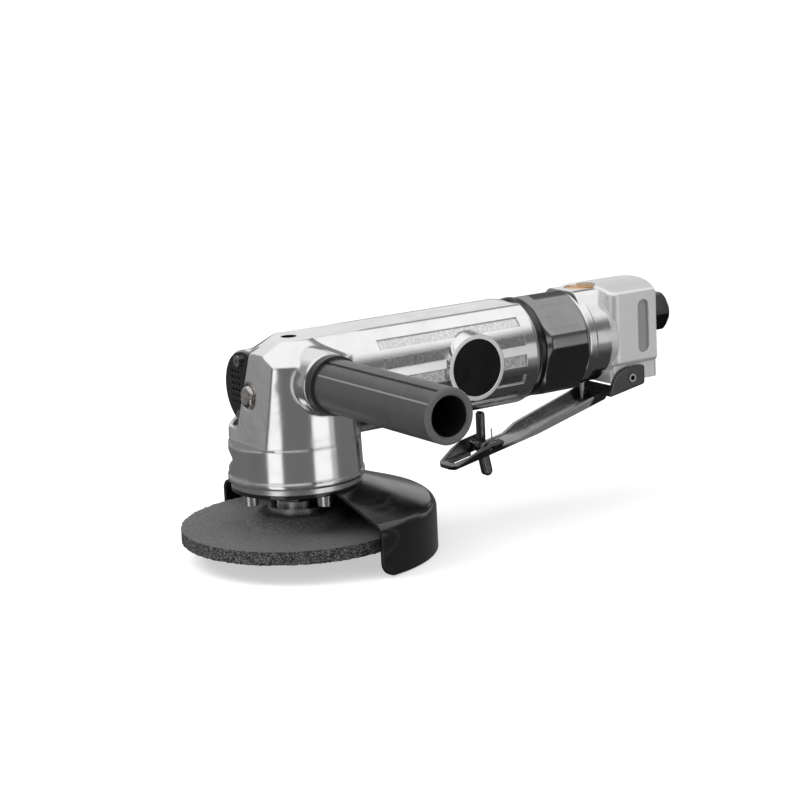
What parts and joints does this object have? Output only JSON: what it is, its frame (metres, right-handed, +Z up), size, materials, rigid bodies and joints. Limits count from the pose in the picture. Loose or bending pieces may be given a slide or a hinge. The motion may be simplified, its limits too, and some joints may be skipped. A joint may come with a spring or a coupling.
{
  "type": "air angle grinder",
  "caption": "Hand-held air angle grinder: polished gear head and barrel, raised-centre wheel under a half guard, tube side handle, and a lever throttle with a lock.",
  "frame": {"origin": "on the spindle axis, at the level of the wheel's working face", "axes": "+X towards the air inlet along the motor, +Z up the spindle, side handle towards -Y"},
  "size_m": [0.248, 0.1736, 0.0944],
  "materials": {
    "polished_aluminium": "polished",
    "machined_aluminium": "machined",
    "black_steel": "gloss black enamel",
    "black_oxide": "black oxide",
    "dark_grey_steel": "satin dark grey",
    "bright_steel": "ground",
    "bearing_steel": "polished",
    "nickel": "nickel plated",
    "cast_liner": "honed",
    "brass": "turned",
    "abrasive": "granular bonded abrasive",
    "handle_plastic": "satin",
    "vane_plastic": "resin-bonded cloth",
    "badge_black": "gloss",
    "rubber": "moulded",
    "felt": "felt"
  },
  "bodies": {
    "housing": {"motor_housing": "polished_aluminium", "badge_plate": "badge_black", "exhaust_plate": "black_steel", "exhaust_screws": "nickel", "grease_plug": "nickel", "bearing_cap": "machined_aluminium", "cap_screws": "black_oxide", "lock_washers": "bright_steel", "spindle_seal": "felt", "wheel_guard": "black_steel", "side_handle": "handle_plastic", "handle_bolt": "black_oxide", "lower_bearing_outer": "bearing_steel", "upper_bearing_outer": "bearing_steel", "front_bearing_outer": "bearing_steel", "rear_bearing_outer": "bearing_steel", "front_end_plate": "cast_liner", "cylinder_liner": "cast_liner", "rear_end_plate": "cast_liner", "dowel_pin": "bright_steel", "clamp_ring": "black_oxide", "clamp_nut": "dark_grey_steel", "valve_body": "polished_aluminium", "inlet_bushing": "black_oxide", "inlet_screen": "bright_steel", "valve_seat": "brass", "valve_spring": "bright_steel", "stem_oring": "rubber", "lever_pin": "bright_steel"},
    "spindle": {"spindle": "bright_steel", "bevel_gear": "bright_steel", "gear_key": "bright_steel", "gear_circlip": "bright_steel", "lower_bearing_inner": "bearing_steel", "upper_bearing_inner": "bearing_steel", "inner_flange": "bright_steel", "grinding_wheel": "abrasive", "flange_nut": "dark_grey_steel"},
    "rotor": {"rotor": "bright_steel", "rotor_vanes": "vane_plastic", "bevel_pinion": "bright_steel", "pinion_nut": "bright_steel", "front_bearing_inner": "bearing_steel", "rear_bearing_inner": "bearing_steel"},
    "lever": {"throttle_lever": "dark_grey_steel", "lock_pin": "bright_steel", "lock_spring": "bright_steel"},
    "lock": {"lock_lever": "dark_grey_steel"},
    "stem": {"valve_stem": "bright_steel"},
    "tip": {"tip_valve": "brass"},
    "regulator": {"regulator": "brass", "regulator_oring": "rubber"}
  },
  "joints": [
    {"name": "wheel_spin", "type": "hinge", "parent": "housing", "child": "spindle", "pos_m": [0, 0, 0.0628], "axis": [0, 0, 1], "continuous": true},
    {"name": "rotor_spin", "type": "hinge", "parent": "housing", "child": "rotor", "pos_m": [0, 0, 0.0628], "axis": [1, 0, 0], "continuous": true},
    {"name": "lever_press", "type": "hinge", "parent": "housing", "child": "lever", "pos_m": [0.1684, 0, 0.0434], "axis": [0, 1, 0], "range_deg": [0, 6], "stiffness_Nm_per_rad": 4, "springref_deg": -2.86},
    {"name": "lock_tilt", "type": "hinge", "parent": "lever", "child": "lock", "pos_m": [0.0952, 0, 0.0211], "axis": [0, 1, 0], "range_deg": [0, 72], "deforming": ["lock_spring"]},
    {"name": "stem_slide", "type": "slide", "parent": "housing", "child": "stem", "axis": [0, 0, 1], "range_m": [0, 0.00165]},
    {"name": "tip_valve_tilt", "type": "hinge", "parent": "housing", "child": "tip", "pos_m": [0.16702, 0, 0.0638], "axis": [0, 1, 0], "range_deg": [0, 6.7], "deforming": ["valve_spring"]},
    {"name": "regulator_turn", "type": "hinge", "parent": "housing", "child": "regulator", "pos_m": [0.153, 0, 0.08], "axis": [0, 0, 1], "range_deg": [0, 90]}
  ],
  "couplings": [
    {"joint": "rotor_spin", "follows": "wheel_spin", "ratio": 1.8182},
    {"joint": "lock_tilt", "follows": "lever_press", "ratio": 12},
    {"joint": "stem_slide", "follows": "lever_press", "m_per_rad": 0.0154},
    {"joint": "tip_valve_tilt", "follows": "lever_press", "ratio": 1.1}
  ]
}
